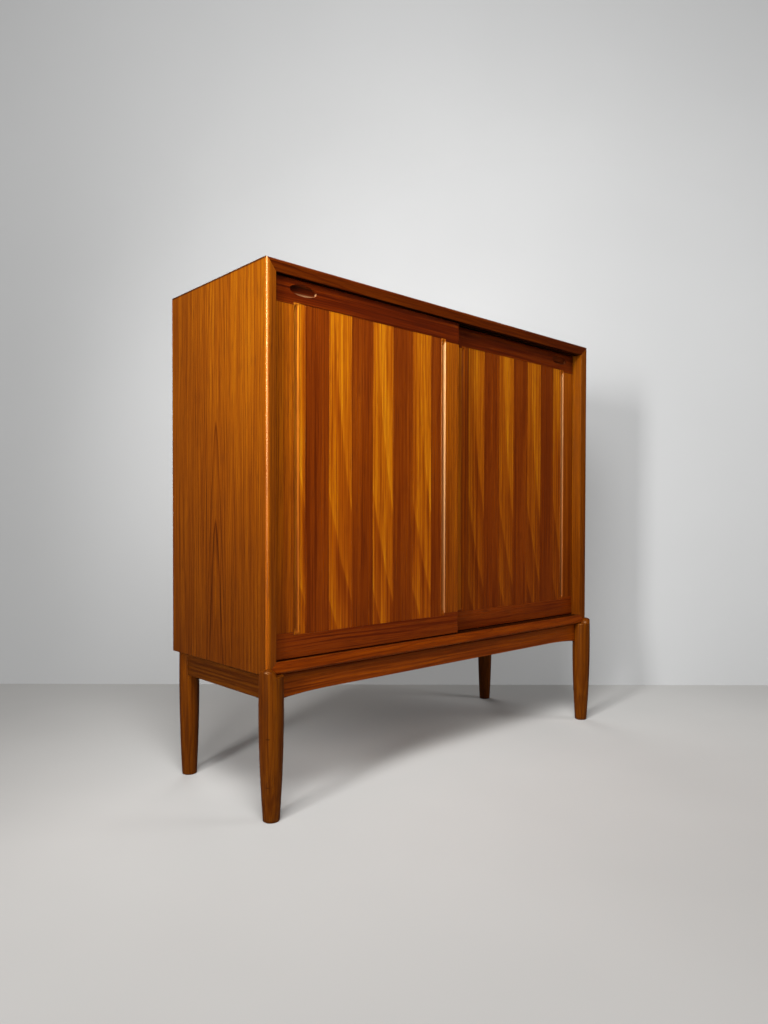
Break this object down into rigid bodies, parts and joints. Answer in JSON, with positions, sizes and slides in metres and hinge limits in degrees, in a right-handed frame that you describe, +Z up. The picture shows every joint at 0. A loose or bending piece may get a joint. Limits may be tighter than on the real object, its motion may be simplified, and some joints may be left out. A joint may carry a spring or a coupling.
{
  "type": "sliding door cabinet",
  "caption": "Tall teak cabinet with sliding doors faced in light and dark staves, a mitred carcase, shelves behind the doors and turned legs joined by aprons.",
  "frame": {"origin": "on the floor, under the centre of the cabinet's overall box", "axes": "+X along the width, to the right as seen from the front; +Y from front to back; +Z up"},
  "size_m": [1.2244, 0.4368, 1.175],
  "materials": {
    "teak_veneer": "satin oil",
    "leg_teak": "satin oil",
    "apron_teak": "satin oil",
    "rail_teak": "satin oil",
    "stile_teak": "satin oil",
    "light_teak": "satin oil",
    "dark_teak": "satin oil",
    "inner_veneer": "matt oil",
    "back_plywood": "matt",
    "door_core": "matt oil",
    "beech": "bare",
    "screw_steel": "zinc plated",
    "pin_brass": "plain",
    "glide_nylon": "matt"
  },
  "bodies": {
    "carcase": {"top_panel": "teak_veneer", "bottom_panel": "teak_veneer", "left_side_panel": "teak_veneer", "right_side_panel": "teak_veneer", "corner_splines": "beech", "back_panel": "back_plywood", "back_screws": "screw_steel", "centre_divider": "inner_veneer", "left_lower_shelf": "inner_veneer", "left_upper_shelf": "inner_veneer", "right_lower_shelf": "inner_veneer", "right_upper_shelf": "inner_veneer", "shelf_pins": "pin_brass", "front_left_leg": "leg_teak", "front_right_leg": "leg_teak", "back_left_leg": "leg_teak", "back_right_leg": "leg_teak", "front_apron": "apron_teak", "back_apron": "apron_teak", "left_apron": "apron_teak", "right_apron": "apron_teak", "front_cleat": "beech", "back_cleat": "beech", "base_screws": "screw_steel"},
    "left_door": {"left_door_core": "door_core", "left_door_top_rail": "rail_teak", "left_door_bottom_rail": "rail_teak", "left_door_left_stile": "stile_teak", "left_door_right_stile": "stile_teak", "left_door_light_staves": "light_teak", "left_door_dark_staves": "dark_teak", "left_door_glides": "glide_nylon"},
    "right_door": {"right_door_core": "door_core", "right_door_top_rail": "rail_teak", "right_door_bottom_rail": "rail_teak", "right_door_left_stile": "stile_teak", "right_door_right_stile": "stile_teak", "right_door_light_staves": "light_teak", "right_door_dark_staves": "dark_teak", "right_door_glides": "glide_nylon"}
  },
  "joints": [
    {"name": "left_door_slide", "type": "slide", "parent": "carcase", "child": "left_door", "axis": [1, 0, 0], "range_m": [0, 0.565]},
    {"name": "right_door_slide", "type": "slide", "parent": "carcase", "child": "right_door", "axis": [-1, 0, 0], "range_m": [0, 0.565]}
  ]
}
